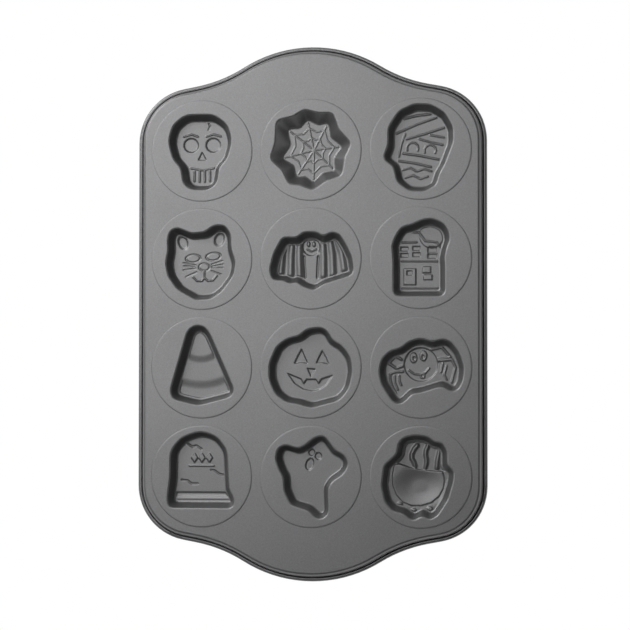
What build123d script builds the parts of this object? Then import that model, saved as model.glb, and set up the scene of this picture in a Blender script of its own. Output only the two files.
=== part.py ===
"""Cookie mold pan: a rolled-rim steel sheet that carries twelve separately drawn cavities.

Millimetres, +Z up. The origin is under the middle of the pan, on the face that it rests on.
X runs across the three columns of cavities, Y along the four rows.
"""
from build123d import *

import os
from math import atan2, cos, dist, pi, radians, sin, tan

os.makedirs("parts", exist_ok=True)

# Sheet metal
sheet_gauge = 0.6
insert_gauge = 0.6

# Grid of cavities, set by the gaps between their discs
column_gap = 6.5
row_gap = 5.7
columns = 3
rows = 4

# Drawn cavities
flange_radius = 40.5
flange_lap = 3.0
cavity_depth = 11.2
wall_lean = 3.4
mouth_radius = 4.0
floor_radius = 3.0
fillet_share = 0.45
sunk_depth = 0.8
raised_height = 0.7
line_width = 1.2

# Rolled rim
side_margin = 12.0
corner_radius = 44.7
corner_rise = 7.4
shoulder_slope = 10.7
shoulder_run = 10.5
waist_radius = 113.0
lobe_slope = 31.7
turn_radius = 2.5
rim_slope = 16.0
wire_radius = 1.1
wire_clearance = 0.1
rim_lift = 0.9
curl_angle = 270.0

# Levels, from the resting face up
floor_level = insert_gauge + sunk_depth
flange_top = floor_level + cavity_depth
sheet_top = flange_top - insert_gauge
sheet_underside = sheet_top - sheet_gauge

# Places of the cavities
column_pitch = 2 * flange_radius + column_gap
row_pitch = 2 * flange_radius + row_gap
column_x = [(i - (columns - 1) / 2) * column_pitch for i in range(columns)]
row_y = [((rows - 1) / 2 - i) * row_pitch for i in range(rows)]
hole_radius = flange_radius - flange_lap

# Section of the rolled rim: the edge turns down, leans outward and curls round the wire
half_width = column_x[-1] + flange_radius + side_margin
side_straight = row_y[0] + corner_rise
curl_inner = wire_radius + wire_clearance
curl_middle = curl_inner + sheet_gauge / 2
bead_radius = curl_inner + sheet_gauge
bead_level = rim_lift + bead_radius
turn_middle = turn_radius - sheet_gauge / 2
turn_level = sheet_top - turn_radius
lean_sin = sin(radians(rim_slope))
lean_cos = cos(radians(rim_slope))
wall_run = (turn_level - bead_level + (turn_middle + curl_middle) * lean_sin) / lean_cos
bead_reach = (turn_middle + curl_middle) * lean_cos + wall_run * lean_sin
rim_width = bead_reach + bead_radius


def outline_points(inset):
    """Corners of one quarter of the pan's outline, moved in by inset, with the arcs' middles."""
    slope = radians(shoulder_slope)
    steep = radians(lobe_slope)
    corner = corner_radius - inset
    waist = waist_radius + inset
    corner_centre = (half_width - corner_radius, side_straight)

    def on_arc(centre, radius, angle):
        return (centre[0] + radius * sin(angle), centre[1] + radius * cos(angle))

    side_end = on_arc(corner_centre, corner, radians(90))
    corner_middle = on_arc(corner_centre, corner, (radians(90) + slope) / 2)
    corner_end = on_arc(corner_centre, corner, slope)
    shoulder_end = (corner_end[0] - shoulder_run * cos(slope), corner_end[1] + shoulder_run * sin(slope))
    waist_centre = on_arc(shoulder_end, waist, slope)
    waist_middle = on_arc(waist_centre, -waist, (slope + steep) / 2)
    waist_end = on_arc(waist_centre, -waist, steep)
    lobe = waist_end[0] / sin(steep)
    lobe_centre = (0, waist_end[1] - lobe * cos(steep))
    lobe_top = (0, lobe_centre[1] + lobe)
    return side_end, corner_middle, corner_end, shoulder_end, waist_middle, waist_end, lobe_top


def pan_outline(inset):
    """The pan's whole outline as one closed wire: straight sides, round corners and two lobed ends."""
    side_end, corner_middle, corner_end, *end_points = outline_points(inset)
    shoulder_end, waist_middle, waist_end, lobe_top = end_points

    def flipped(point, x, y):
        return (point[0] * x, point[1] * y)

    with BuildLine() as outline:
        for x, y in ((1, 1), (-1, 1), (-1, -1), (1, -1)):
            Line(flipped((side_end[0], 0), x, y), flipped(side_end, x, y))
            ThreePointArc(flipped(side_end, x, y), flipped(corner_middle, x, y), flipped(corner_end, x, y))
            Line(flipped(corner_end, x, y), flipped(shoulder_end, x, y))
            ThreePointArc(flipped(shoulder_end, x, y), flipped(waist_middle, x, y), flipped(waist_end, x, y))
        for y in (1, -1):
            ThreePointArc(flipped(waist_end, 1, y), flipped(lobe_top, 1, y), flipped(waist_end, -1, y))
    return outline.wire()


# The frame sheet: a flat plate with a hole for each cavity, and the rolled rim swept round it
rim_plane = Plane(origin=(half_width - rim_width, 0, 0), x_dir=(1, 0, 0), z_dir=(0, -1, 0))

with BuildPart() as pan_sheet:
    with BuildSketch(Plane.XY.offset(sheet_underside)):
        make_face(pan_outline(rim_width))
        with GridLocations(column_pitch, row_pitch, columns, rows):
            Circle(hole_radius, mode=Mode.SUBTRACT)
    extrude(amount=sheet_gauge)
    with BuildSketch(rim_plane) as rim_section:
        with BuildLine():
            turn_down = CenterArc((0, turn_level), turn_middle, 90, rim_slope - 90)
            wall_end = turn_down @ 1 + Vector(lean_sin, -lean_cos) * wall_run
            Line(turn_down @ 1, wall_end)
            CenterArc((bead_reach, bead_level), curl_middle, 180 + rim_slope, curl_angle)
        trace(line_width=sheet_gauge)
    sweep(sections=rim_section.sketch, path=pan_outline(rim_width))

pan_sheet.part.label = "pan_sheet"
export_step(pan_sheet.part, "parts/pan_sheet.step")

# The endless wire inside the curled edge
with BuildPart() as rim_wire:
    with BuildSketch(rim_plane):
        with Locations((bead_reach, bead_level)):
            Circle(wire_radius)
    sweep(path=pan_outline(rim_width))

rim_wire.part.label = "rim_wire"
export_step(rim_wire.part, "parts/rim_wire.step")


def run_corners(points):
    """Each corner of a closed outline with its two neighbours."""
    count = len(points)
    return [(points[i - 1], points[i], points[(i + 1) % count]) for i in range(count)]


def turn_at(before, corner, after):
    """Angle by which a clockwise outline turns to the right at a corner."""
    heading_in = atan2(corner[1] - before[1], corner[0] - before[0])
    heading_out = atan2(after[1] - corner[1], after[0] - corner[0])
    turn = heading_in - heading_out
    return (turn + pi) % (2 * pi) - pi


def moved_in(points, distance):
    """A clockwise outline with every side moved inward by the same distance."""
    moved = []
    for before, corner, after in run_corners(points):
        heading = atan2(corner[1] - before[1], corner[0] - before[0])
        half_turn = turn_at(before, corner, after) / 2
        middle = heading - half_turn
        reach = distance / cos(half_turn)
        moved.append((corner[0] + reach * sin(middle), corner[1] - reach * cos(middle)))
    return moved


def rounded(points, radius):
    """A closed outline whose corners are rounded by radius, or by less where its sides are short."""
    radii = []
    for before, corner, after in run_corners(points):
        shorter = min(dist(before, corner), dist(corner, after))
        room = fillet_share * shorter / abs(tan(turn_at(before, corner, after) / 2))
        radii.append(min(radius, room))
    with BuildLine() as outline:
        FilletPolyline(*points, radius=radii, close=True)
    return outline.wire()


def drawn_form(centre, mouth, foot, skin):
    """A drawn cavity as a solid, from the flange's top to its floor.

    skin is 0 for the hollow and the sheet's gauge for the outer face, which stands that much
    further out all round and below.
    """
    lean = atan2(wall_lean, cavity_depth)
    side = skin * (1 / cos(lean) - tan(lean))
    with BuildPart() as form:
        with BuildSketch(Plane((*centre, flange_top))):
            make_face(rounded(moved_in(mouth, -skin / cos(lean)), mouth_radius))
        with BuildSketch(Plane((*centre, floor_level - skin))):
            make_face(rounded(moved_in(foot, -side), floor_radius))
        loft(ruled=True)
    return form.part


def pressed_insert(name, column, row, mouth, sunk=None, raised=None, foot=None):
    """One drawn insert: its disc, its cavity and the forms pressed into the cavity's floor.

    sunk and raised are sketches of what lies below and above the floor. The floor's outline is
    the mouth's, moved in by the wall's lean, unless foot gives its own.
    """
    centre = (column_x[column], row_y[row])
    foot = foot or moved_in(mouth, wall_lean)
    outside = drawn_form(centre, mouth, foot, insert_gauge)
    hollow = drawn_form(centre, mouth, foot, 0)
    with BuildPart() as insert:
        with BuildSketch(Plane((*centre, sheet_top))):
            Circle(flange_radius)
        extrude(amount=insert_gauge)
        add(outside)
        if sunk:
            with BuildSketch(Plane((*centre, 0))):
                add(sunk)
                offset(amount=insert_gauge, kind=Kind.INTERSECTION)
            extrude(amount=floor_level - insert_gauge)
        add(hollow, mode=Mode.SUBTRACT)
        if sunk:
            with BuildSketch(Plane((*centre, floor_level))):
                add(sunk)
            extrude(amount=-sunk_depth, mode=Mode.SUBTRACT)
        if raised:
            with BuildSketch(Plane((*centre, insert_gauge))):
                add(raised)
            extrude(amount=sunk_depth + raised_height)
    insert.part.label = name
    export_step(insert.part, f"parts/{name}.step")


def bar(*points, width=line_width):
    """A line of the floor's relief through the given points, added to the sketch in hand."""
    with BuildLine() as run:
        Polyline(*points)
    trace(run.line, line_width=width)


def patch(*corners):
    """A flat area of the floor's relief, added to the sketch in hand."""
    with BuildLine() as border:
        Polyline(*corners, close=True)
    make_face(border.line)


def almond(centre, width, height):
    """An eye between two arcs, added to the sketch in hand."""
    x, y = centre
    with BuildLine() as lids:
        ThreePointArc((x - width / 2, y), (x, y + height / 2), (x + width / 2, y))
        ThreePointArc((x + width / 2, y), (x, y - height / 2), (x - width / 2, y))
    make_face(lids.line)


# Skull: a round brain case over a narrow jaw with teeth
skull_mouth = [(-27, 8), (-23.5, 21), (-13, 29), (9.5, 29), (20.5, 21), (24, 8), (20, -7), (13.5, -13),
               (12, -27), (5, -31), (-8, -31), (-15, -27), (-16.5, -13), (-23, -7)]
skull_middle = (-1.5, 6)
skull_eye_radius = 5.5
skull_eye_spread = 18
skull_nose = [(-1.5, 0), (1.5, -6), (-4.5, -6)]
skull_teeth = (-1.5, -19)
skull_tooth_pitch = 4.2
skull_tooth_gap = (1.4, 8)

with BuildSketch() as skull_sunk:
    with Locations(skull_middle):
        with GridLocations(skull_eye_spread, 1, 2, 1):
            Circle(skull_eye_radius)
    patch(*skull_nose)
with BuildSketch() as skull_raised:
    with Locations(skull_teeth):
        with GridLocations(skull_tooth_pitch, 1, 4, 1):
            Rectangle(*skull_tooth_gap)
pressed_insert("skull_insert", 0, 0, skull_mouth, skull_sunk.sketch, skull_raised.sketch)

# Spider's web: an irregular eight-pointed star with its spokes
web_mouth = [(-5, 32.5), (6, 29.5), (18, 29.5), (22.5, 16), (32.5, 5), (27, -6.5), (25, -20.5),
             (13, -24.5), (1.5, -32), (-8, -28), (-17.5, -27), (-22.5, -16), (-32.5, -7), (-28.5, 6),
             (-27.5, 24), (-14, 27)]
web_foot = [(-4, 26.5), (5, 21.5), (13.5, 24), (15, 11.5), (25, 4), (18, -5), (19, -16), (8.5, -17.5),
            (1, -26), (-6, -20), (-13.5, -21.5), (-15, -11), (-25.5, -5.5), (-17.5, 5.5), (-21, 19),
            (-10, 19)]
web_hub = Vector(1.5, 1)
web_spoke = 0.86

with BuildSketch() as web_raised:
    for tip in web_foot[::2]:
        bar(web_hub, web_hub + (Vector(*tip) - web_hub) * web_spoke)
pressed_insert("web_insert", 1, 0, web_mouth, raised=web_raised.sketch, foot=web_foot)

# Mummy's head: wrapped bands with two eyes between them and a loose end at the left
mummy_mouth = [(-30, -8), (-25.5, 3), (-25.5, 17), (-17, 30), (-5, 35.5), (8, 35), (19, 28.5), (25.5, 17),
               (25.5, 5), (19, -12), (14.5, -20), (12, -29), (3, -33.5), (-9, -33), (-18.5, -26), (-21, -14),
               (-24, -11.5)]
mummy_eyes = [(-7.5, 1), (6.5, -1)]
mummy_eye_radius = 5
mummy_bands = [((-13, 24.5), (7, 28)), ((-18, 13.5), (11, 25.5)), ((-11, 9.5), (17, 18)),
               ((-2, 9), (17, 4)), ((-16, -8), (10, -14))]

with BuildSketch() as mummy_sunk:
    with Locations(*mummy_eyes):
        Circle(mummy_eye_radius)
with BuildSketch() as mummy_raised:
    for band in mummy_bands:
        bar(*band)
pressed_insert("mummy_insert", 2, 0, mummy_mouth, mummy_sunk.sketch, mummy_raised.sketch)

# Cat's head with two pricked ears
cat_mouth = [(-27.5, 15), (-26, 23), (-20, 25.5), (-8.5, 20.5), (2.5, 21.5), (10, 27), (18.5, 27), (23, 20),
             (23.5, 8), (27, -3), (25, -13.5), (16.5, -25), (8, -31.5), (-4.5, -32.5), (-19.5, -24),
             (-27, -13.5), (-29, -3), (-27, 7)]
cat_eyes = [(-9, 1.5), (8, 2.5)]
cat_eye_size = (12, 6.5)
cat_nose = [(-3.5, -4), (4.5, -4), (0.5, -8.5)]
cat_whiskers = [((-16, -3), (-6.5, -5)), ((-16, -8), (-6.5, -7.5)), ((7.5, -5), (16, -2)),
                ((7.5, -7.5), (17, -7))]

with BuildSketch() as cat_sunk:
    for centre in cat_eyes:
        almond(centre, *cat_eye_size)
    patch(*cat_nose)
with BuildSketch() as cat_raised:
    for whisker in cat_whiskers:
        bar(*whisker)
pressed_insert("cat_insert", 0, 1, cat_mouth, cat_sunk.sketch, cat_raised.sketch)

# Bat with spread wings
bat_mouth = [(-22.5, 17), (-11.5, 16.5), (-5.5, 21), (4, 21), (10, 17.5), (17, 21), (23, 19), (28, 11),
             (32.5, 1.5), (34, -8), (33, -13), (20, -17), (10.5, -20), (2.5, -25), (-6, -22), (-11.5, -18),
             (-16.5, -20), (-21.5, -17), (-31, -17), (-32.5, -8), (-29.5, 4)]
bat_face = (0, 9.5)
bat_face_radius = 6.5
bat_folds = [((-20, 11), (-19, -10)), ((-14.5, 10.5), (-11, -11)), ((9, 10.5), (9.5, -11)),
             ((18.5, 13), (22.5, -8))]

with BuildSketch() as bat_sunk:
    with Locations(bat_face):
        Circle(bat_face_radius)
with BuildSketch() as bat_raised:
    for fold in bat_folds:
        bar(*fold)
pressed_insert("bat_insert", 1, 1, bat_mouth, bat_sunk.sketch, bat_raised.sketch)

# Haunted house with the moon behind its roof and a deeper lower storey
house_mouth = [(-21.5, -30), (-21.5, -2.5), (-22.5, 11.5), (-15.5, 25), (-7, 26), (0.5, 30), (9, 31.5),
               (19.5, 26.5), (23.5, 16), (20, 7), (18.5, 0), (19, -5.5), (19, -30)]
house_storey = (-1, -13)
house_storey_size = (30, 21)
house_panes = [(-13, 8), (-13, 3), (-4, 8.5), (-4, 3.5), (9, 6.5)]
house_pane_size = (6, 3.5)
house_windows = [(4.5, -8.5), (4.5, -15)]
house_window_size = (7.5, 5)
house_door = (-9, -14.5)
house_door_size = (9, 13)
house_roof = [(-1, 21), (3.5, 14.5), (10.5, 14.5), (15, 10)]

with BuildSketch() as house_sunk:
    with Locations(house_storey):
        Rectangle(*house_storey_size)
    with Locations(*house_panes):
        Rectangle(*house_pane_size)
with BuildSketch() as house_raised:
    with Locations(*house_windows):
        Rectangle(*house_window_size)
    with Locations(house_door):
        Rectangle(*house_door_size)
    bar(*house_roof)
pressed_insert("house_insert", 2, 1, house_mouth, house_sunk.sketch, house_raised.sketch)

# Candy corn in three bands, each deeper than the one above it
candy_corn_mouth = [(-25, -18), (-11.5, 29), (-6.5, 33.5), (1, 33.5), (6, 28), (26, -17.5), (24.5, -23),
                    (-2.5, -30), (-23.5, -25)]
candy_corn_top = [(-11.5, 9.5), (-6.5, 27), (0, 27), (8.5, 10), (-2, 7.5)]
candy_corn_bottom = [(-16.5, -10), (-1, -13), (17, -9.5), (19.5, -17.5), (-2.5, -24), (-18.5, -19.5)]

with BuildSketch() as candy_corn_sunk:
    patch(*candy_corn_bottom)
with BuildSketch() as candy_corn_raised:
    patch(*candy_corn_top)
pressed_insert("candy_corn_insert", 0, 2, candy_corn_mouth, candy_corn_sunk.sketch, candy_corn_raised.sketch)

# Pumpkin lantern
pumpkin_mouth = [(-18.5, 23), (-9, 25), (-3, 30.5), (9, 32), (14, 28), (16.5, 22), (25, 17), (31.5, 8),
                 (33, -3), (30, -17), (22.5, -26), (11, -29), (0.5, -32), (-10, -28.5), (-19, -27.5),
                 (-28, -21), (-33, -9), (-33, 3), (-27, 17)]
pumpkin_cuts = [
    [(-8, 14), (-3, 2.5), (-13.5, 4.5)],
    [(7.5, 12.5), (12.5, 2), (2.5, 4.5)],
    [(-4.5, 0.5), (2, 0), (-2, -7)],
    [(-19, -5.5), (-8.5, -9.5), (-6.5, -13), (-4.5, -9.5), (3.5, -9.5), (5.5, -12.5), (7.5, -9), (16, -6.5),
     (10, -14.5), (-1, -18), (-11, -14.5)]]

with BuildSketch() as pumpkin_sunk:
    for cut in pumpkin_cuts:
        patch(*cut)
pressed_insert("pumpkin_insert", 1, 2, pumpkin_mouth, pumpkin_sunk.sketch)

# Spider with a round, deeper body and folded legs
spider_mouth = [(-33, -2), (-30.5, 7), (-24, 13), (-16, 15), (-9, 20.5), (0, 23), (9, 20), (17.5, 22.5),
                (24, 20), (30, 12), (34, 0), (33, -10), (29.5, -17.5), (25, -19.5), (16.5, -14.5),
                (0.5, -19.5), (-7, -20.5), (-12, -26), (-17, -29.5), (-22, -27), (-31, -13)]
spider_body = (-0.5, 2.5)
spider_body_radius = 13
spider_legs = [((-15, -3), (-24, -6), (-19, -20)), ((15, 6.5), (25, 7.5), (28, 0), (25, -10))]

with BuildSketch() as spider_sunk:
    with Locations(spider_body):
        Circle(spider_body_radius)
with BuildSketch() as spider_raised:
    for leg in spider_legs:
        bar(*leg)
pressed_insert("spider_insert", 2, 2, spider_mouth, spider_sunk.sketch, spider_raised.sketch)

# Tombstone on a deeper base
tombstone_mouth = [(-27, -25), (-27, -15), (-25, 0), (-25, 20), (-16, 31), (-1, 36), (12, 32), (20.5, 21),
                   (21.5, 0), (22, -9.5), (26, -18), (26, -25)]
tombstone_base = (-0.5, -17)
tombstone_base_size = (40, 6.5)
tombstone_cracks = [((-11, 26), (0, 24)), ((6, 5), (16, 0)), ((-18, -3), (-6, -6)), ((-10, 8), (8, 8.5))]

with BuildSketch() as tombstone_sunk:
    with Locations(tombstone_base):
        Rectangle(*tombstone_base_size)
with BuildSketch() as tombstone_raised:
    for crack in tombstone_cracks:
        bar(*crack)
pressed_insert("tombstone_insert", 0, 3, tombstone_mouth, tombstone_sunk.sketch, tombstone_raised.sketch)

# Ghost with a round mouth
ghost_mouth = [(-28, 15), (-26, 23), (-20, 25.5), (-10, 22), (-4, 25), (3, 31), (10.5, 33), (15, 27),
               (19, 21), (27, 17), (30, 10), (26, 2.5), (17, -3.5), (13.5, -9), (14, -28.5), (11, -33),
               (5, -33.5), (-1.5, -26.5), (-15.5, -22.5), (-21, -11), (-21.5, 0), (-25, 5.5)]
ghost_eyes = [(-0.5, 19.5), (5.5, 16.5)]
ghost_eye_radius = 2.5
ghost_lips = (-2, 9.5)
ghost_lip_radius = 4

with BuildSketch() as ghost_sunk:
    with Locations(*ghost_eyes):
        Circle(ghost_eye_radius)
    with Locations(ghost_lips):
        Circle(ghost_lip_radius)
pressed_insert("ghost_insert", 1, 3, ghost_mouth, ghost_sunk.sketch)

# Cauldron that boils over, with a deeper bowl on three feet
cauldron_mouth = [(-17.5, 27), (-13, 31.5), (-4, 33), (5, 32), (11, 27.5), (17, 27), (20.5, 20), (20.5, 9.5),
                  (26, 4.5), (25, -4), (21, -17.5), (13, -30), (7, -33.5), (1, -30), (-6, -34.5),
                  (-14, -28.5), (-22, -26.5), (-28, -20), (-31, -7), (-29, 9), (-19, 18)]
cauldron_rim = [(-22, 8), (-10, 8.5), (0, 6), (18, 4)]
cauldron_belly = (-3, -22.5)
cauldron_steam = [((-4, 26), (-8, 11)), ((2, 27), (0, 9)), ((11, 22), (10, 7.5))]

with BuildSketch() as cauldron_sunk:
    with BuildLine():
        Polyline(*cauldron_rim)
        ThreePointArc(cauldron_rim[-1], cauldron_belly, cauldron_rim[0])
    make_face()
with BuildSketch() as cauldron_raised:
    for wisp in cauldron_steam:
        bar(*wisp)
pressed_insert("cauldron_insert", 2, 3, cauldron_mouth, cauldron_sunk.sketch, cauldron_raised.sketch)
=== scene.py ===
"""Looks for the cookie mold pan: a rolled-rim sheet with twelve drawn inserts, all under one dark coating.

Each insert's cavity is redrawn from its node with rounded edges and the figure pressed into its floor.
"""
from math import cos, inf, pi, radians, sin

import bmesh
import bpy
import numpy as np
from mathutils import Matrix, Vector


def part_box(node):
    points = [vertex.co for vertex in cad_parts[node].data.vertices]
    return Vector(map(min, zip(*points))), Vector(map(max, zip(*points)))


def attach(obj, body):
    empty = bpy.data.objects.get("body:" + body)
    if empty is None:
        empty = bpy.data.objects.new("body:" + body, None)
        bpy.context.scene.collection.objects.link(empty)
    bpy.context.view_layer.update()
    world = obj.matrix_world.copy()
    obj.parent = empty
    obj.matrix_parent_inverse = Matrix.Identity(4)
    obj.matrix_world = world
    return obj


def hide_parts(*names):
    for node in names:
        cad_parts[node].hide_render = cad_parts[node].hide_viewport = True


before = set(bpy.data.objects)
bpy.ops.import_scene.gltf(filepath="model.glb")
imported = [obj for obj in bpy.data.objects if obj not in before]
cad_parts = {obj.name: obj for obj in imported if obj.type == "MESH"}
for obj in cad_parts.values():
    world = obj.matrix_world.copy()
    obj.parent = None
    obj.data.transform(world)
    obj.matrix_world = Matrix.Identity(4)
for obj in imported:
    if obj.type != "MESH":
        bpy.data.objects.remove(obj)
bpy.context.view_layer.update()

# Sizes in metres
millimetre = 0.001
gauge = 0.0006
lip_radius = 0.0011
floor_bend = 0.0013
edge_round = 0.00028
flat_border = 0.00025
floor_pitch = 0.00045
outline_pitch = 0.0009
level_slack = 0.00002
merge_distance = 0.0000002
grain_depth = 0.00005
ground_reach = 3
ground_gap = 0.0003
surround_height = 1.2

# Edges round each disc, and across each rounded bend and disc edge
rim_segments = 128
bend_segments = 4
edge_segments = 3

# Upward share of a face's normal: a flat is above the first, and a cavity's wall is between the two
flat_rise = 0.9
wall_rise = 0.08

# Outlines start at their furthest place this way, which isn't square to any straight side
start_direction = np.array((1, 0.37, 0))

# Smoothing passes over the outlines: all round, then more above a level in millimetres from the middle
plain_easing = (10, 0, 0)
easing = {
    "skull": (24, 0, 0), "tombstone": (5, 26, -9), "pumpkin": (15, 0, 0), "web": (6, 0, 0),
    "house": (5, 20, 10), "candy_corn": (12, 0, 0), "cauldron": (5, 0, 0), "bat": (5, 0, 0)}

# Relief limits in millimetres: how far figures sink below and rise above the floor, and fade at its edge
deepest = -0.8
highest = 1.1
edge_fade = 0.5

# Camera: the photograph looks down on the pan from its lower right
view_target = Vector((0.0286, -0.0267, 0.0126))
view_distance = 1.4288
view_azimuth = radians(-15.59)
view_lean = radians(4.761)
view_lens = 102.95
view_shift = (-0.05, 0.05)

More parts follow.
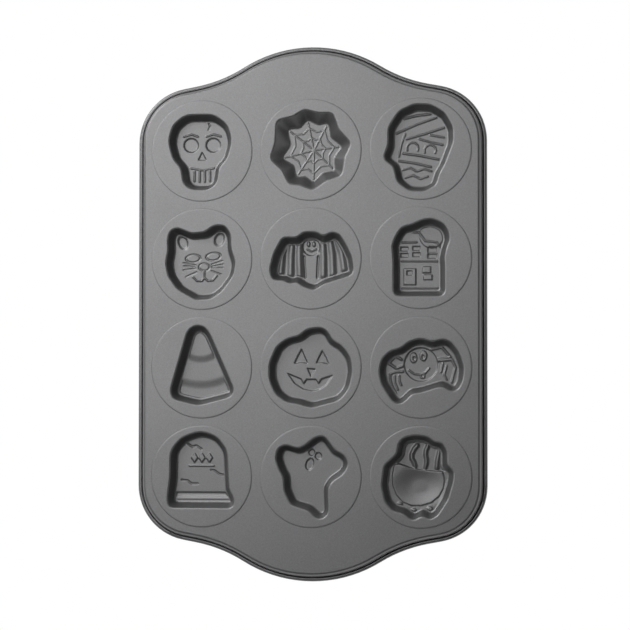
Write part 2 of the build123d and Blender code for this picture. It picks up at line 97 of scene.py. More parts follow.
# Figures in the floors, in millimetres from the middle of each disc.
# Ridges and grooves: height, half width, points. Areas: height, softness, corners.
# Ovals: height, softness, then centre, half axes and tilt in degrees. Rings are grooves along an oval.
figures = {
    "skull": [
        ("oval", -0.8, 1.8, (-10.5, 6, 5.8, 5.6, 0)),
        ("oval", -0.8, 1.8, (7.5, 6, 5.8, 5.6, 0)),
        ("area", -0.8, 0.5, [(-1.5, 0.5), (1.8, -6), (-4.8, -6)]),
        ("ridge", 0.7, 0.5, [(-16.5, 13), (-10.5, 14.8), (-5, 13)]),
        ("ridge", 0.7, 0.5, [(2, 13), (7.5, 14.8), (13.5, 13)]),
        ("ridge", 0.6, 0.5, [(-11, -12.5), (-1.5, -14.2), (8.5, -12.5)]),
        ("ridge", 0.7, 0.55, [(-7.8, -15), (-7.8, -23)]),
        ("ridge", 0.7, 0.55, [(-3.6, -15), (-3.6, -23.5)]),
        ("ridge", 0.7, 0.55, [(0.6, -15), (0.6, -23.5)]),
        ("ridge", 0.7, 0.55, [(4.8, -15), (4.8, -23)]),
        ("groove", 0.6, 0.4, [(3, 25), (5, 21), (3.5, 18.5)]),
    ],
    "web": [
        ("ridge", 0.45, 0.4, [(1.5, 1), (-3.2, 22.9)]),
        ("ridge", 0.45, 0.4, [(1.5, 1), (11.8, 20.8)]),
        ("ridge", 0.45, 0.4, [(1.5, 1), (21.7, 3.6)]),
        ("ridge", 0.45, 0.4, [(1.5, 1), (16.5, -13.6)]),
        ("ridge", 0.45, 0.4, [(1.5, 1), (1.1, -22.2)]),
        ("ridge", 0.45, 0.4, [(1.5, 1), (-11.4, -18.4)]),
        ("ridge", 0.45, 0.4, [(1.5, 1), (-21.7, -4.6)]),
        ("ridge", 0.45, 0.4, [(1.5, 1), (-17.9, 16.5)]),
        ("ridge", 0.4, 0.35, [(-0.7, 11.2), (2.6, 9.3), (6.3, 10.2), (7.6, 5.5), (10.9, 2.2), (8.6, -1.4),
            (8.5, -5.8), (4.4, -6.6), (1.3, -9.8), (-1.2, -7.5), (-4.5, -8), (-5.7, -4), (-9.3, -1.6),
            (-7, 3), (-7.5, 8.2), (-3.3, 8.5), (-0.7, 11.2)]),
        ("ridge", 0.4, 0.35, [(-2.3, 18.8), (3.5, 15.6), (9.9, 17.1), (12.2, 8.8), (17.9, 3.1),
            (13.8, -3.2), (13.8, -10.9), (6.6, -12.2), (1.1, -17.9), (-3.2, -13.9), (-9, -14.7),
            (-11.1, -7.7), (-17.4, -3.5), (-13.4, 4.5), (-14.2, 13.6), (-6.9, 14.1), (-2.3, 18.8)]),
    ],
    "mummy": [
        ("ridge", 0.7, 0.55, [(-14.8, 25.2), (-3.9, 27.7), (8.2, 29.2)]),
        ("ridge", 0.7, 0.55, [(-19.9, 13.7), (-3.9, 20.7), (12.2, 26.2)]),
        ("ridge", 0.7, 0.55, [(-11.8, 9.2), (3.1, 13.2), (18.6, 18.2)]),
        ("ridge", 0.6, 0.5, [(7.2, 12.2), (18.1, 10.2)]),
        ("ridge", 0.6, 0.5, [(-1.9, 9.2), (8.2, 6.2), (17.1, 4.2)]),
        ("ridge", 0.7, 0.55, [(-14.8, -2.3), (-0.8, -4.3), (13.7, -7.3)]),
        ("ridge", 0.7, 0.55, [(-17.9, -8.3), (-4.8, -10.3), (7.7, -13.3)]),
        ("ridge", 0.6, 0.5, [(-12.8, 13.2), (-15.8, 5.2), (-17.9, -4.8)]),
        ("ridge", 0.6, 0.5, [(-15.8, -15.8), (-8.8, -13.8), (-3.9, -16.8), (2.1, -14.8), (8.2, -16.8)]),
        ("ridge", 0.6, 0.5, [(-12.8, -21.8), (-6.8, -19.8), (-0.8, -22.8), (5.2, -20.8)]),
        ("ridge", 0.7, 0.45, [(-11.1, 0.1), (-11.4, 2.8), (-10.2, 5.1), (-7.7, 6.3), (-5, 6), (-2.9, 4.2),
            (-2.3, 1.6), (-2.9, -0.2)]),
        ("ridge", 0.7, 0.45, [(2.9, -1.9), (2.6, 0.8), (3.8, 3.1), (6.3, 4.3), (9, 4), (11.1, 2.2),
            (11.7, -0.4), (11.1, -2.2)]),
    ],
    "cat": [
        ("ring", 0.5, 0.35, (-8.7, 1.3, 5.8, 3.1, 4)),
        ("ring", 0.5, 0.35, (7.8, 2.8, 5.8, 3.1, 8)),
        ("ring", 0.5, 0.35, (0.3, -5.7, 4.3, 2.9, 0)),
        ("groove", 0.5, 0.35, [(-16.7, -2.2), (-6.7, -4.2)]),
        ("groove", 0.5, 0.35, [(-16.2, -4.6), (-7.2, -5.4)]),
        ("groove", 0.5, 0.35, [(-16.7, -8.2), (-6.7, -6.7)]),
        ("groove", 0.5, 0.35, [(-14.7, -13.7), (-5.7, -9.7)]),
        ("groove", 0.5, 0.35, [(6.3, -3.7), (15.3, -0.7)]),
        ("groove", 0.5, 0.35, [(6.8, -5.2), (15.8, -3.6)]),
        ("groove", 0.5, 0.35, [(6.3, -6.2), (15.3, -6.2)]),
        ("groove", 0.5, 0.35, [(6.3, -8.7), (14.3, -11.7)]),
        ("ridge", 0.7, 0.5, [(0.3, -9.2), (0.3, -14.2), (-1.7, -16.7), (-5.7, -16.7), (-8.7, -13.7)]),
        ("ridge", 0.7, 0.5, [(0.3, -14.2), (3.3, -16.7), (7.3, -16.2), (10.3, -12.7)]),
        ("oval", -0.8, 2.4, (-17, 14, 3.6, 5.4, 20)),
        ("oval", -0.8, 2.4, (12.6, 16.4, 3.6, 5.2, -20)),
    ],
    "bat": [
        ("oval", -0.8, 0.7, (-0.6, 10.1, 6.9, 7, 0)),
        ("oval", 0.8, 0.4, (-2.8, 12.3, 1.1, 2, 0)),
        ("oval", 0.8, 0.4, (1.5, 12.3, 1.1, 2, 0)),
        ("ridge", 0.7, 0.4, [(-4.2, 8.3), (-0.8, 6.5), (3, 8.3)]),
        ("ridge", 1.1, 1.9, [(-20.8, 15.3), (-23.8, 5.3), (-25.2, -10.7)]),
        ("ridge", 1.1, 1.9, [(-15.8, 15.3), (-16.8, 3.3), (-17.2, -11.7)]),
        ("ridge", 1.1, 1.9, [(-10.2, 14.3), (-10.2, 1.3), (-9.8, -12.7)]),
        ("ridge", 1.1, 1.9, [(8.8, 14.3), (9.2, 1.3), (9.2, -12.7)]),
        ("ridge", 1.1, 1.9, [(14.2, 17.3), (16.2, 4.3), (16.8, -11.7)]),
        ("ridge", 1.1, 1.9, [(19.8, 16.3), (23.8, 5.3), (25.8, -7.7)]),
        ("groove", 0.7, 0.6, [(-6.2, 2.3), (-5.2, -14.7)]),
        ("groove", 0.7, 0.6, [(5, 2.3), (4.2, -14.7)]),
    ],
    "house": [
        ("oval", 0.6, 0.5, (8.2, 18.3, 9.6, 9.6, 0)),
        ("ridge", 0.7, 0.5, [(-8.8, 21.3), (-1.9, 21.3), (3.1, 14.3), (12.2, 13.3), (15.2, 9.3)]),
        ("ridge", 0.6, 0.5, [(-15.8, 13.3), (-3.9, 13.3)]),
        ("area", -0.8, 0.4, [(-16.4, 9.5), (-10.3, 9.5), (-10.3, 6.3), (-16.4, 6.3)]),
        ("area", -0.8, 0.4, [(-16.4, 4.5), (-10.3, 4.5), (-10.3, 1.3), (-16.4, 1.3)]),
        ("area", -0.8, 0.4, [(-6.8, 10), (-0.8, 10), (-0.8, 6.7), (-6.8, 6.7)]),
        ("area", -0.8, 0.4, [(-6.8, 5), (-0.8, 5), (-0.8, 1.7), (-6.8, 1.7)]),
        ("area", -0.8, 0.4, [(5.2, 8.3), (6.7, 9.9), (10.7, 9.9), (12.2, 8.3), (12.2, 0.3), (5.2, 0.3)]),
        ("ridge", 0.7, 0.4, [(5.2, 4.3), (12.2, 4.3)]),
        ("ridge", 0.6, 0.5, [(-17.9, -1.7), (14.2, -1.9)]),
        ("area", 0.8, 0.5, [(-13.8, -7.7), (-4.3, -7.7), (-4.3, -20.7), (-13.8, -20.7)]),
        ("area", -0.8, 0.4, [(-11.4, -9.5), (-7.2, -9.5), (-7.2, -13.1), (-11.4, -13.1)]),
        ("area", 0.8, 0.5, [(1, -6.2), (7.5, -6.2), (7.5, -11.2), (1, -11.2)]),
        ("area", 0.8, 0.5, [(1.6, -12.7), (8.7, -12.7), (8.7, -16.7), (1.6, -16.7)]),
        ("ridge", 0.6, 0.5, [(-16.9, -23.3), (13.2, -23.3)]),
    ],
    "candy_corn": [
        ("area", -0.8, 1, [(-50, 50), (-50, -50), (50, -50), (50, 50)]),
        ("oval", 0.8, 8, (-2.5, 31.4, 45, 45, 0)),
        ("oval", 0.8, 7, (-2.3, 26.9, 20, 20, 0)),
    ],
    "pumpkin": [
        ("area", -0.8, 1, [(-8.3, 14.8), (-5.9, 9), (-3.6, 3.6), (-8.7, 4), (-14.2, 3.4), (-11.6, 9)]),
        ("area", -0.8, 1, [(8.3, 13.6), (11.2, 8.4), (13.6, 2.8), (8.3, 4), (3.4, 3.6), (5.7, 8.6)]),
        ("area", -0.8, 1, [(-3.8, -0.6), (2.6, -1.2), (-0.7, -7.4)]),
        ("area", -0.8, 1, [(-19.6, -4.6), (-8.8, -9), (-6.8, -12.8), (-4.3, -9.4), (3.3, -9.4), (5.3, -12.6),
            (7.8, -9), (16.6, -6.2), (11.3, -13.9), (5.3, -17.5), (0.2, -18.6), (-6.8, -17.2),
            (-13.8, -12.8)]),
    ],
    "spider": [
        ("oval", -0.8, 0.8, (-0.3, 2.4, 13.3, 13.3, 0)),
        ("oval", 0.8, 0.5, (-6.3, 7.9, 2.8, 4, 0)),
        ("oval", 0.8, 0.5, (1.6, 9.4, 2.8, 4, 0)),
        ("oval", -0.6, 0.3, (-5.6, 7.2, 1.1, 1.6, 0)),
        ("oval", -0.6, 0.3, (1.4, 8.4, 1.1, 1.6, 0)),
        ("ridge", 0.7, 0.5, [(-9.8, -2.1), (-5.8, -5.1), (-0.8, -5.6), (3.1, -4.1), (6.2, -0.6)]),
        ("ridge", 0.6, 0.5, [(-0.8, -5.6), (0, -8.1), (2.1, -7.9), (2.4, -4.9)]),
        ("ridge", 0.8, 0.7, [(-15.8, 6.4), (-20.9, 9.4), (-25.9, 3.4), (-19.9, -0.6), (-14.8, 1.4)]),
        ("ridge", 0.8, 0.6, [(-14.8, -3.2), (-20.5, -3.4), (-25, -5), (-25, -9), (-23.6, -14), (-20.4, -20.6)]),
        ("ridge", 0.7, 0.5, [(-21.4, -6.6), (-21.2, -11.5), (-18.8, -17.6)]),
        ("ridge", 0.7, 0.5, [(-17.6, -6.4), (-17.6, -10.2), (-16, -14)]),
        ("ridge", 0.8, 0.7, [(8.2, 14.4), (16.1, 16.4), (23.1, 8.4), (13.2, 6.4)]),
        ("ridge", 0.8, 0.7, [(13.2, 5.4), (24.1, 6.4), (27.1, 0.4), (24.1, -11.6)]),
        ("ridge", 0.6, 0.5, [(17.1, 3.4), (15.7, -3.6)]),
        ("ridge", 0.6, 0.5, [(20.1, 1.4), (18.1, -5.6), (20.1, -9.6)]),
    ],
    "tombstone": [
        ("area", -0.8, 1.1, [(-40, -13.2), (40, -13.2), (40, -40), (-40, -40)]),
        ("ridge", 0.9, 1.8, [(-22, -18.3), (22, -18.3)]),
        ("groove", 0.7, 0.5, [(-12.7, 25.5), (-8.7, 23), (-5.7, 24), (-1.7, 21.5)]),
        ("groove", 0.7, 0.5, [(6.3, 4.5), (9.3, 4), (12.3, 1.5), (16.3, 0.5)]),
        ("groove", 0.7, 0.5, [(-17.7, -3.5), (-12.7, -4), (-9.7, -6.5), (-4.7, -6.5)]),
        ("area", 0.8, 0.4, [(-7.2, 18.5), (-4.5, 14.5), (-7.2, 10.5), (-9.9, 14.5)]),
        ("area", 0.8, 0.4, [(-1.2, 18.5), (1.5, 14.5), (-1.2, 10.5), (-3.9, 14.5)]),
        ("area", 0.8, 0.4, [(4.8, 18.5), (7.5, 14.5), (4.8, 10.5), (2.1, 14.5)]),
        ("ridge", 0.7, 0.45, [(-11.2, 8.1), (8.3, 8.1)]),
    ],
    "ghost": [
        ("oval", -0.8, 0.5, (-0.2, 19, 2.4, 2.6, 0)),
        ("oval", -0.8, 0.5, (5.2, 16, 2.6, 2.8, 0)),
        ("oval", -0.8, 0.5, (-1.8, 9.5, 3, 4.8, -20)),
    ],
    "cauldron": [
        ("area", -0.8, 0.7, [(-30, 12), (-18, 10.5), (-9, 7.5), (-1, 6), (8, 5), (17, 4.3), (30, 6), (30, 50),
            (-30, 50)]),
        ("area", 0.9, 0.8, [(-21.5, 9.5), (-17, 9.8), (-9, 6.9), (-1, 5.4), (8, 4.4), (16.8, 3.8),
            (18.4, -2), (17.5, -9), (14, -15.5), (8, -20.5), (0, -23), (-8, -23), (-15, -20), (-20, -14.5),
            (-22.8, -7), (-23.3, 1)]),
        ("oval", -1.7, 15, (-1, -7.5, 14.5, 11.5, 0)),
        ("ridge", 1.6, 1.2, [(-3.4, 24.8), (-6, 21.5), (-7.6, 18), (-7.8, 14.5), (-6, 11.4), (-5, 8)]),
        ("ridge", 1.6, 1.2, [(5.1, 24.5), (3.6, 21), (3.2, 17.4), (4, 13.5), (3.8, 10.4), (3, 7)]),
        ("ridge", 1.6, 1.2, [(14.4, 20.5), (13.4, 16.5), (12.6, 12.5), (12.2, 7)]),
        ("oval", 0.9, 0.7, (-17.3, -22, 2.2, 1.8, 30)),
        ("oval", 0.9, 0.7, (-6.3, -27, 2.2, 1.7, 0)),
        ("oval", 0.9, 0.7, (6.7, -25.6, 2.2, 1.8, 0)),
    ],
}


def finished(bm, name):
    """Turn a bmesh into a smooth-shaded object in the scene."""
    mesh = bpy.data.meshes.new(name)
    bm.to_mesh(mesh)
    bm.free()
    mesh.shade_smooth()
    piece = bpy.data.objects.new(name, mesh)
    bpy.context.collection.objects.link(piece)
    return piece


# Materials
def grain_group():
    """Fine speckle and broad unevenness of a sprayed or drawn metal surface."""
    group = bpy.data.node_groups.new("metal_grain", "ShaderNodeTree")
    face = group.interface
    face.new_socket("Color", in_out="INPUT", socket_type="NodeSocketColor")
    face.new_socket("Speckle", in_out="INPUT", socket_type="NodeSocketFloat")
    face.new_socket("Unevenness", in_out="INPUT", socket_type="NodeSocketFloat")
    face.new_socket("Roughness", in_out="INPUT", socket_type="NodeSocketFloat")
    face.new_socket("Stretch", in_out="INPUT", socket_type="NodeSocketVector")
    face.new_socket("Color", in_out="OUTPUT", socket_type="NodeSocketColor")
    face.new_socket("Roughness", in_out="OUTPUT", socket_type="NodeSocketFloat")
    face.new_socket("Height", in_out="OUTPUT", socket_type="NodeSocketFloat")
    nodes = group.nodes
    link = group.links.new
    given = nodes.new("NodeGroupInput")
    made = nodes.new("NodeGroupOutput")
    place = nodes.new("ShaderNodeTexCoord")
    stretched = nodes.new("ShaderNodeVectorMath")
    stretched.operation = "MULTIPLY"
    link(place.outputs["Object"], stretched.inputs[0])
    link(given.outputs["Stretch"], stretched.inputs[1])

    def noise(source, scale, detail):
        node = nodes.new("ShaderNodeTexNoise")
        node.inputs["Scale"].default_value = scale
        node.inputs["Detail"].default_value = detail
        link(source, node.inputs["Vector"])
        centred = nodes.new("ShaderNodeMath")
        centred.operation = "SUBTRACT"
        centred.inputs[1].default_value = 0.5
        link(node.outputs["Fac"], centred.inputs[0])
        return node.outputs["Fac"], centred.outputs[0]

    def joined(operation, first, second, third=None):
        node = nodes.new("ShaderNodeMath")
        node.operation = operation
        for socket, value in zip(node.inputs, (first, second, third)):
            if isinstance(value, (int, float)):
                socket.default_value = value
            elif value is not None:
                link(value, socket)
        return node.outputs[0]

    fine, fine_centred = noise(stretched.outputs[0], 1300, 3)
    broad, broad_centred = noise(place.outputs["Object"], 22, 2)
    shade = joined("MULTIPLY_ADD", fine_centred, given.outputs["Speckle"], 1)
    shade = joined("MULTIPLY_ADD", broad_centred, given.outputs["Unevenness"], shade)
    tinted = nodes.new("ShaderNodeVectorMath")
    tinted.operation = "SCALE"
    link(given.outputs["Color"], tinted.inputs[0])
    link(shade, tinted.inputs["Scale"])
    link(tinted.outputs[0], made.inputs["Color"])
    link(joined("MULTIPLY_ADD", broad_centred, given.outputs["Unevenness"], given.outputs["Roughness"]),
         made.inputs["Roughness"])
    link(fine, made.inputs["Height"])
    return group


def metal(name, grain, color, speckle, unevenness, roughness, metallic, bump, stretch=(1, 1, 1)):
    """A metal surface with its own grain."""
    material = bpy.data.materials.new(name)
    material.use_nodes = True
    nodes = material.node_tree.nodes
    link = material.node_tree.links.new
    shader = nodes["Principled BSDF"]
    shader.inputs["Metallic"].default_value = metallic
    surface = nodes.new("ShaderNodeGroup")
    surface.node_tree = grain
    surface.inputs["Color"].default_value = (*color, 1)
    surface.inputs["Speckle"].default_value = speckle
    surface.inputs["Unevenness"].default_value = unevenness
    surface.inputs["Roughness"].default_value = roughness
    surface.inputs["Stretch"].default_value = stretch
    relief = nodes.new("ShaderNodeBump")
    relief.inputs["Strength"].default_value = bump
    relief.inputs["Distance"].default_value = grain_depth
    link(surface.outputs["Color"], shader.inputs["Base Color"])
    link(surface.outputs["Roughness"], shader.inputs["Roughness"])
    link(surface.outputs["Height"], relief.inputs["Height"])
    link(relief.outputs["Normal"], shader.inputs["Normal"])
    return material


grain = grain_group()
pan_coating = metal("pan_coating", grain, color=(0.185, 0.185, 0.188), speckle=0.5, unevenness=0.12,
                    roughness=0.42, metallic=0.7, bump=0.35)
wire_steel = metal("wire", grain, color=(0.5, 0.5, 0.51), speckle=0.3, unevenness=0.2,
                   roughness=0.32, metallic=1.0, bump=0.2, stretch=(1, 0.08, 1))


# Reliefs of the figures
def line_gap(x, y, points):
    """Distance from each place to a line through the points."""
    nearest = np.full(x.shape, inf)
    for (x0, y0), (x1, y1) in zip(points, points[1:]):
        run, rise = x1 - x0, y1 - y0
        share = np.clip(((x - x0) * run + (y - y0) * rise) / (run * run + rise * rise), 0, 1)
        nearest = np.minimum(nearest, np.hypot(x - x0 - share * run, y - y0 - share * rise))
    return nearest


def area_gap(x, y, corners):
    """Distance from each place to an area's edge, negative within it."""
    closed = corners + corners[:1]
    within = np.zeros(x.shape, bool)
    for (x0, y0), (x1, y1) in zip(closed, closed[1:]):
        if y0 != y1:
            within ^= ((y0 > y) != (y1 > y)) & (x < (x1 - x0) * (y - y0) / (y1 - y0) + x0)
    gap = line_gap(x, y, closed)
    return np.where(within, -gap, gap)


def oval_gap(x, y, oval):
    """Distance from each place to an oval's edge, negative within it."""
    middle_x, middle_y, half_x, half_y, tilt = oval
    turn = radians(tilt)
    along = (x - middle_x) * cos(turn) + (y - middle_y) * sin(turn)
    over = (y - middle_y) * cos(turn) - (x - middle_x) * sin(turn)
    return (np.hypot(along / half_x, over / half_y) - 1) * min(half_x, half_y)


def eased(gap, softness):
    """1 within an edge and 0 outside it, with a smooth fall over the softness."""
    share = np.clip(0.5 - gap / softness, 0, 1)
    return share * share * (3 - 2 * share)


def relief(x, y, figure):
    """Height of a figure over its cavity's floor at each place."""
    level = np.zeros(x.shape)
    raised = np.zeros(x.shape)
    cut = np.zeros(x.shape)
    for form, height, width, data in figure:
        if form == "area":
            level += height * eased(area_gap(x, y, data), width)
        elif form == "oval":
            level += height * eased(oval_gap(x, y, data), width)
        else:
            gap = abs(oval_gap(x, y, data)) if form == "ring" else line_gap(x, y, data)
            stroke = height * eased(gap - width, 2 * width)
            if form == "ridge":
                raised = np.maximum(raised, stroke)
            else:
                cut = np.maximum(cut, stroke)
    return np.clip(level + raised - cut, deepest, highest)


# Inserts
def cad_loops(node):
    """The outlines of an insert's mouth and of its foot, from the frame."""
    bm = bmesh.new()
    bm.from_mesh(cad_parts[node].data)
    bmesh.ops.remove_doubles(bm, verts=bm.verts, dist=merge_distance)
    bm.normal_update()
    top = max(v.co.z for v in bm.verts)

    def low(face):
        return min(v.co.z for v in face.verts)

    flats = {f for f in bm.faces if low(f) > top - level_slack and f.normal.z > flat_rise}
    walls = {f for f in bm.faces if wall_rise < f.normal.z < flat_rise and low(f) > gauge - level_slack}
    ends = [e for e in bm.edges if len(walls & set(e.link_faces)) == 1]
    mouth = [e for e in ends if flats & set(e.link_faces)]
    foot = [e for e in ends if not flats & set(e.link_faces)]
    outlines = [ordered(mouth), ordered(foot)]
    bm.free()
    return outlines


def once(items):
    """The items without repeats, in the order in which they first came."""
    return list(dict.fromkeys(items))


def ordered(edges):
    """The places along a closed run of edges, counter-clockwise from above, from a fixed start."""
    beside = {}
    for edge in edges:
        for vert in edge.verts:
            beside.setdefault(vert, []).append(edge.other_vert(vert))
    first = edges[0].verts[0]
    before, here = first, beside[first][0]
    run = [first]
    while here is not first:
        run.append(here)
        ahead = beside[here][0] if beside[here][1] is before else beside[here][1]
        before, here = here, ahead
    places = np.array([v.co for v in run])
    x, y = places[:, 0], places[:, 1]
    if np.sum(x * np.roll(y, -1) - y * np.roll(x, -1)) < 0:
        places = places[::-1]
    return np.roll(places, -int(np.argmax(places @ start_direction)), axis=0)


def sampled(places, shares, count):
    """Even samples of a closed outline, by the share of the way round at which each place lies."""
    shares = np.append(shares, 1)
    closed = np.vstack((places, places[:1]))
    wanted = np.arange(count) / count
    return np.stack([np.interp(wanted, shares, closed[:, axis]) for axis in range(3)], axis=1)


def matched(mouth, foot, middle):
    """Both outlines with the same number of places, each foot's place below its mouth's."""
    count = round(np.sum(np.linalg.norm(mouth - np.roll(mouth, -1, axis=0), axis=1)) / outline_pitch)
    if len(mouth) == len(foot):
        misfit = [np.sum((mouth - np.roll(foot, -turn, axis=0)) ** 2) for turn in range(len(foot))]
        foot = np.roll(foot, -int(np.argmin(misfit)), axis=0)
        steps = sum(np.linalg.norm(np.roll(run, -1, axis=0) - run, axis=1) for run in (mouth, foot))
        shares = np.append(0, np.cumsum(steps)[:-1]) / np.sum(steps)
        return sampled(mouth, shares, count), sampled(foot, shares, count)
    runs = []
    for run in (mouth, foot):
        angles = np.arctan2(run[:, 1] - middle[1], run[:, 0] - middle[0]) % (2 * pi)
        run = np.roll(run, -int(np.argmin(angles)), axis=0)
        shares = np.roll(angles, -int(np.argmin(angles))) / (2 * pi)
        first = (run[0] * (1 - shares[-1]) + run[-1] * shares[0]) / (1 - shares[-1] + shares[0])
        runs.append(sampled(np.vstack((first, run)), np.append(0, shares), count))
    return runs


def outline_ring(bm, places, middle, ease):
    """A closed run of edges through the places, its corners eased by smoothing passes."""
    verts = bmesh.ops.create_circle(bm, segments=len(places), radius=lip_radius)["verts"]
    for vert, place in zip(verts, places):
        vert.co = place
    passes, upper_passes, level = ease
    upper = [v for v in verts if v.co.y - middle[1] > level * millimetre]
    for part, count in ((verts, passes), (upper, upper_passes)):
        for _ in range(count):
            bmesh.ops.smooth_vert(bm, verts=part, factor=0.5, use_axis_x=True, use_axis_y=True,
                                  use_axis_z=False)
    return once(e for v in verts for e in v.link_edges)


def cavity_skin(node, middle, radius, ease):
    """The upper skin of an insert: its flat disc and its cavity's rounded lip, walls and floor."""
    mouth, foot = matched(*cad_loops(node), middle)
    bm = bmesh.new()
    weight = bm.edges.layers.float.new("bevel_weight_edge")
    rim = bmesh.ops.create_circle(bm, segments=rim_segments, radius=radius,
                                  matrix=Matrix.Translation((*middle, mouth[0][2])))["verts"]
    rim_edges = once(e for v in rim for e in v.link_edges)
    mouth_edges = outline_ring(bm, mouth, middle, ease)
    foot_edges = outline_ring(bm, foot, middle, ease)
    filled = bmesh.ops.triangle_fill(bm, use_beauty=True, edges=rim_edges + mouth_edges)["geom"]
    flats = [g for g in filled if isinstance(g, bmesh.types.BMFace)]
    floor = bmesh.ops.contextual_create(bm, geom=foot_edges)["faces"]
    bmesh.ops.inset_region(bm, faces=flats, thickness=lip_radius + flat_border, use_boundary=True,
                           use_even_offset=True)
    bmesh.ops.inset_region(bm, faces=floor, thickness=floor_bend + flat_border, use_boundary=True,
                           use_even_offset=True)

    def open_edges(level):
        return [e for e in bm.edges if e.is_boundary and abs(e.verts[0].co.z - level) < level_slack
                and (e.verts[0].co.xy - Vector(middle)).length < radius - lip_radius]

    for edge in bm.edges:
        edge[weight] = edge.is_boundary and (edge.verts[0].co.xy - Vector(middle)).length > radius - lip_radius
    mouth_edges = open_edges(mouth[0][2])
    foot_edges = open_edges(foot[0][2])
    bmesh.ops.bridge_loops(bm, edges=mouth_edges + foot_edges)
    bmesh.ops.recalc_face_normals(bm, faces=bm.faces)
    for edges, width in ((mouth_edges, lip_radius), (foot_edges, floor_bend)):
        bmesh.ops.bevel(bm, geom=edges, affect="EDGES", offset=width, segments=bend_segments, profile=0.5,
                        material=-1, clamp_overlap=True)
    bmesh.ops.recalc_face_normals(bm, faces=bm.faces)
    if sum(f.normal.z * f.calc_area() for f in bm.faces) < 0:
        bmesh.ops.reverse_faces(bm, faces=bm.faces)
    return bm, floor[0]


def gridded(bm, face):
    """Cut a flat face into a fine square grid."""
    pieces = [face]
    for axis in (0, 1):
        ends = [v.co[axis] for f in pieces for v in f.verts]
        level = min(ends) + floor_pitch
        rest = pieces
        pieces = []
        across = Vector((0, 0, 0))
        across[axis] = 1
        while level < max(ends):
            place = across * level
            geom = once(g for f in rest for g in (*f.verts, *f.edges, f))
            cut = bmesh.ops.bisect_plane(bm, geom=geom, dist=merge_distance, plane_co=place, plane_no=across)
            faces = [g for g in cut["geom"] if isinstance(g, bmesh.types.BMFace)]
            rest = [f for f in faces if f.calc_center_median()[axis] > level]
            pieces += [f for f in faces if f.calc_center_median()[axis] <= level]
            level += floor_pitch
        pieces += rest
    return pieces


def pressed(faces, middle, figure):
    """Move a gridded floor into the form of its figure, fading out at the floor's edge."""
    floor = set(faces)
    verts = once(v for f in faces for v in f.verts)
    border = [v.co[:2] for v in verts if any(f not in floor for f in v.link_faces)]
    place = np.array([v.co[:2] for v in verts])
    gap = np.full(len(verts), inf)
    for x, y in border:
        gap = np.minimum(gap, np.hypot(place[:, 0] - x, place[:, 1] - y))
    fade = eased(0.5 * edge_fade - gap / millimetre, edge_fade)
    x, y = ((place - middle) / millimetre).T
    for vert, rise in zip(verts, relief(x, y, figure) * fade * millimetre):
        vert.co.z += rise


def drawn_insert(node):
    """An insert with rounded edges, its figure and its sheet's thickness."""
    figure = node.replace("_insert", "")
    low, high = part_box(node)
    middle = ((low[0] + high[0]) / 2, (low[1] + high[1]) / 2)
    bm, floor = cavity_skin(node, middle, (high[0] - low[0]) / 2, easing.get(figure, plain_easing))
    pressed(gridded(bm, floor), middle, figures[figure])
    piece = finished(bm, node.replace("_insert", "_mold"))
    wall = piece.modifiers.new("sheet", "SOLIDIFY")
    wall.thickness = gauge
    wall.offset = -1
    rounded_rim = piece.modifiers.new("rim", "BEVEL")
    rounded_rim.limit_method = "WEIGHT"
    rounded_rim.width = edge_round
    rounded_rim.segments = edge_segments
    piece.data.materials.append(pan_coating)
    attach(piece, "root")
    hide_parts(node)


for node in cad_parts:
    if node.endswith("_insert"):
        drawn_insert(node)

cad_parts["pan_sheet"].material_slots[0].material = pan_coating
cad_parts["rim_wire"].material_slots[0].material = wire_steel


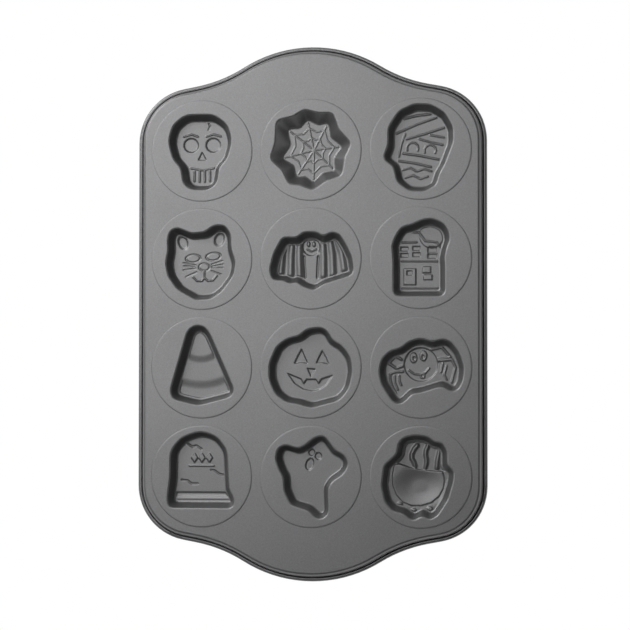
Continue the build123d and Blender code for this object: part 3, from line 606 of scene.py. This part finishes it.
# Floor, lights and camera
def studio():
    """A pale floor with a low surround, seen and mirrored as white from above and clear from below."""
    bm = bmesh.new()
    bmesh.ops.create_grid(bm, x_segments=1, y_segments=1, size=ground_reach)
    raised = bmesh.ops.extrude_edge_only(bm, edges=[e for e in bm.edges if e.is_boundary])["geom"]
    bmesh.ops.translate(bm, verts=[g for g in raised if isinstance(g, bmesh.types.BMVert)],
                        vec=(0, 0, surround_height))
    bmesh.ops.translate(bm, verts=bm.verts, vec=(0, 0, -ground_gap))
    bmesh.ops.recalc_face_normals(bm, faces=bm.faces)
    if min(f.normal.z for f in bm.faces) < -0.5:
        bmesh.ops.reverse_faces(bm, faces=bm.faces)
    ground = finished(bm, "ground")
    white = bpy.data.materials.new("ground")
    white.use_nodes = True
    nodes = white.node_tree.nodes
    link = white.node_tree.links.new
    paths = nodes.new("ShaderNodeLightPath")
    seen = nodes.new("ShaderNodeMath")
    seen.operation = "MAXIMUM"
    mirrored = nodes.new("ShaderNodeMath")
    mirrored.operation = "MAXIMUM"
    glow = nodes.new("ShaderNodeEmission")
    mixed = nodes.new("ShaderNodeMixShader")
    nodes["Principled BSDF"].inputs["Base Color"].default_value = (0.85, 0.85, 0.85, 1)
    nodes["Principled BSDF"].inputs["Roughness"].default_value = 0.9
    link(paths.outputs["Is Glossy Ray"], mirrored.inputs[0])
    link(paths.outputs["Is Transmission Ray"], mirrored.inputs[1])
    link(paths.outputs["Is Camera Ray"], seen.inputs[0])
    link(mirrored.outputs[0], seen.inputs[1])
    link(seen.outputs[0], mixed.inputs[0])
    link(nodes["Principled BSDF"].outputs[0], mixed.inputs[1])
    link(glow.outputs[0], mixed.inputs[2])
    side = nodes.new("ShaderNodeNewGeometry")
    clear = nodes.new("ShaderNodeBsdfTransparent")
    sided = nodes.new("ShaderNodeMixShader")
    link(side.outputs["Backfacing"], sided.inputs[0])
    link(mixed.outputs[0], sided.inputs[1])
    link(clear.outputs[0], sided.inputs[2])
    link(sided.outputs[0], nodes["Material Output"].inputs[0])
    ground.data.materials.append(white)


def softbox(name, place, aim, size, power):
    """A rectangular area lamp that points from its place at its aim."""
    light = bpy.data.lights.new(name, "AREA")
    light.shape = "RECTANGLE"
    light.size, light.size_y = size
    light.energy = power
    lamp = bpy.data.objects.new(name, light)
    lamp.location = place
    lamp.rotation_euler = (Vector(aim) - Vector(place)).to_track_quat("-Z", "Y").to_euler()
    bpy.context.collection.objects.link(lamp)


studio()
softbox("key", place=(-1.0, 0.9, 1.25), aim=(0, 0, 0), size=(0.7, 0.7), power=10)
softbox("overhead", place=(-0.45, 0.4, 1.5), aim=(0, 0, 0), size=(1.3, 1.3), power=13.5)
softbox("low", place=(-1.4, 1.2, 0.45), aim=(0, 0, 0), size=(1.0, 0.6), power=9)
world = bpy.data.worlds.new("room")
world.use_nodes = True
world.node_tree.nodes["Background"].inputs["Color"].default_value = (1, 1, 1, 1)
world.node_tree.nodes["Background"].inputs["Strength"].default_value = 0.03
bpy.context.scene.world = world

camera = bpy.data.objects.new("camera", bpy.data.cameras.new("camera"))
camera.data.lens = view_lens
camera.data.shift_x, camera.data.shift_y = view_shift
away = Vector((sin(view_lean) * cos(view_azimuth), sin(view_lean) * sin(view_azimuth), cos(view_lean)))
camera.location = view_target + away * view_distance
across = Vector((0, 1, 0)).cross(away).normalized()
camera.rotation_euler = Matrix((across, away.cross(across), away)).transposed().to_euler()
bpy.context.collection.objects.link(camera)
bpy.context.scene.camera = camera
bpy.context.scene.view_settings.view_transform = "Standard"
